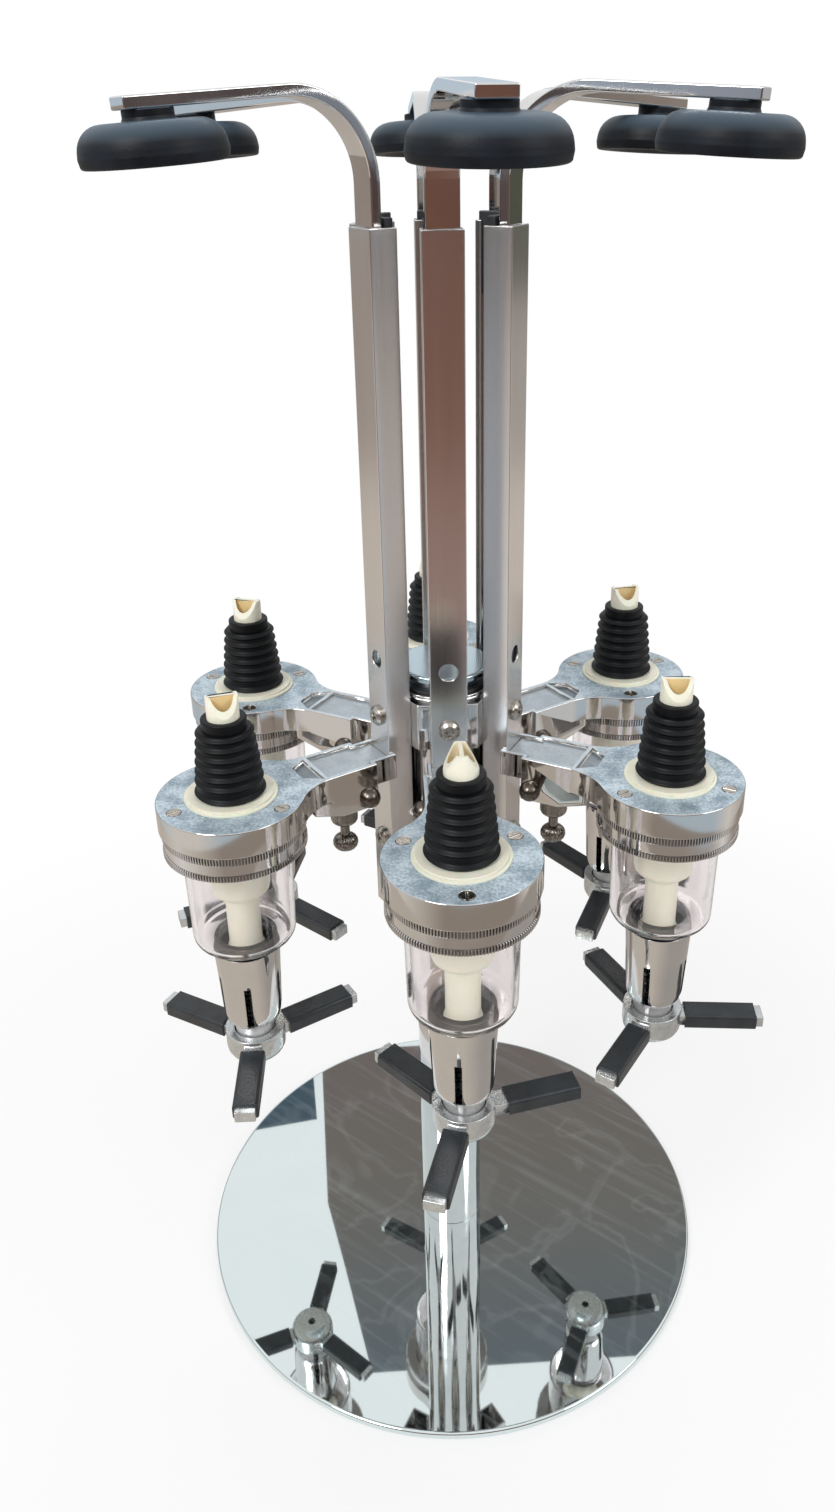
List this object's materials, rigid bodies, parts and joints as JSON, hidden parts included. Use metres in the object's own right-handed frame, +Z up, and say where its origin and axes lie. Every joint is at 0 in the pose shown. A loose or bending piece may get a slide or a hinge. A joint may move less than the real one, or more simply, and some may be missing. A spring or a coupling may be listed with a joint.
{
  "type": "rotary liquor dispenser",
  "caption": "Free-standing carousel that holds upturned spirit bottles between spring measures and sliding cushioned rods, turning on a chromed pole.",
  "frame": {"origin": "centre of the base's underside, on the pole's axis", "axes": "+Z up along the pole; -Y towards the front station; +X to the right seen from the front"},
  "size_m": [0.2745, 0.2831, 0.5501],
  "materials": {
    "mirror_chrome": "polished chrome",
    "cast_chrome": "chromed casting, pitted on top",
    "satin_aluminium": "satin, drawn along its length",
    "screw_steel": "plated steel",
    "spring_steel": "drawn wire",
    "black_rubber": "moulded, matt",
    "foam_rubber": "thin foam sheet",
    "black_plastic": "moulded",
    "cream_plastic": "moulded, soft gloss",
    "clear_plastic": "clear moulding"
  },
  "bodies": {
    "stand": {"base_plate": "mirror_chrome", "base_pad": "foam_rubber", "pole": "mirror_chrome", "pole_bolt": "screw_steel", "pole_journal": "screw_steel", "thrust_washers": "black_plastic", "hub_cap": "mirror_chrome"},
    "rotor": {"hub": "mirror_chrome", "channel_1": "satin_aluminium", "channel_2": "satin_aluminium", "channel_3": "satin_aluminium", "channel_4": "satin_aluminium", "channel_5": "satin_aluminium", "channel_6": "satin_aluminium", "bracket_1": "cast_chrome", "bracket_2": "cast_chrome", "bracket_3": "cast_chrome", "bracket_4": "cast_chrome", "bracket_5": "cast_chrome", "bracket_6": "cast_chrome", "rod_guides": "black_plastic", "channel_screws": "screw_steel", "clamp_bolts": "screw_steel", "thumbscrews": "screw_steel", "ring_screws": "screw_steel", "lock_rings": "cast_chrome", "chambers": "clear_plastic", "valve_tubes": "cream_plastic", "stoppers": "black_rubber", "nozzles": "mirror_chrome"},
    "rod_1": {"bottle_rod_1": "mirror_chrome", "bottle_cushion_1": "black_rubber"},
    "lifter_1": {"plunger_1": "mirror_chrome", "plunger_grips_1": "black_rubber", "valve_spring_1": "spring_steel"},
    "rod_2": {"bottle_rod_2": "mirror_chrome", "bottle_cushion_2": "black_rubber"},
    "lifter_2": {"plunger_2": "mirror_chrome", "plunger_grips_2": "black_rubber", "valve_spring_2": "spring_steel"},
    "rod_3": {"bottle_rod_3": "mirror_chrome", "bottle_cushion_3": "black_rubber"},
    "lifter_3": {"plunger_3": "mirror_chrome", "plunger_grips_3": "black_rubber", "valve_spring_3": "spring_steel"},
    "rod_4": {"bottle_rod_4": "mirror_chrome", "bottle_cushion_4": "black_rubber"},
    "lifter_4": {"plunger_4": "mirror_chrome", "plunger_grips_4": "black_rubber", "valve_spring_4": "spring_steel"},
    "rod_5": {"bottle_rod_5": "mirror_chrome", "bottle_cushion_5": "black_rubber"},
    "lifter_5": {"plunger_5": "mirror_chrome", "plunger_grips_5": "black_rubber", "valve_spring_5": "spring_steel"},
    "rod_6": {"bottle_rod_6": "mirror_chrome", "bottle_cushion_6": "black_rubber"},
    "lifter_6": {"plunger_6": "mirror_chrome", "plunger_grips_6": "black_rubber", "valve_spring_6": "spring_steel"}
  },
  "joints": [
    {"name": "carousel", "type": "hinge", "parent": "stand", "child": "rotor", "pos_m": [0, 0, 0.3], "axis": [0, 0, 1], "continuous": true},
    {"name": "rod_slide_1", "type": "slide", "parent": "rotor", "child": "rod_1", "axis": [0, 0, 1], "range_m": [-0.004, 0.1]},
    {"name": "plunger_lift_1", "type": "slide", "parent": "rotor", "child": "lifter_1", "axis": [0, 0, 1], "range_m": [0, 0.0046], "stiffness_N_per_m": 400, "springref_m": -0.01, "deforming": ["valve_spring_1"]},
    {"name": "rod_slide_2", "type": "slide", "parent": "rotor", "child": "rod_2", "axis": [0, 0, 1], "range_m": [-0.004, 0.1]},
    {"name": "plunger_lift_2", "type": "slide", "parent": "rotor", "child": "lifter_2", "axis": [0, 0, 1], "range_m": [0, 0.0046], "stiffness_N_per_m": 400, "springref_m": -0.01, "deforming": ["valve_spring_2"]},
    {"name": "rod_slide_3", "type": "slide", "parent": "rotor", "child": "rod_3", "axis": [0, 0, 1], "range_m": [-0.004, 0.1]},
    {"name": "plunger_lift_3", "type": "slide", "parent": "rotor", "child": "lifter_3", "axis": [0, 0, 1], "range_m": [0, 0.0046], "stiffness_N_per_m": 400, "springref_m": -0.01, "deforming": ["valve_spring_3"]},
    {"name": "rod_slide_4", "type": "slide", "parent": "rotor", "child": "rod_4", "axis": [0, 0, 1], "range_m": [-0.004, 0.1]},
    {"name": "plunger_lift_4", "type": "slide", "parent": "rotor", "child": "lifter_4", "axis": [0, 0, 1], "range_m": [0, 0.0046], "stiffness_N_per_m": 400, "springref_m": -0.01, "deforming": ["valve_spring_4"]},
    {"name": "rod_slide_5", "type": "slide", "parent": "rotor", "child": "rod_5", "axis": [0, 0, 1], "range_m": [-0.004, 0.1]},
    {"name": "plunger_lift_5", "type": "slide", "parent": "rotor", "child": "lifter_5", "axis": [0, 0, 1], "range_m": [0, 0.0046], "stiffness_N_per_m": 400, "springref_m": -0.01, "deforming": ["valve_spring_5"]},
    {"name": "rod_slide_6", "type": "slide", "parent": "rotor", "child": "rod_6", "axis": [0, 0, 1], "range_m": [-0.004, 0.1]},
    {"name": "plunger_lift_6", "type": "slide", "parent": "rotor", "child": "lifter_6", "axis": [0, 0, 1], "range_m": [0, 0.0046], "stiffness_N_per_m": 400, "springref_m": -0.01, "deforming": ["valve_spring_6"]}
  ]
}
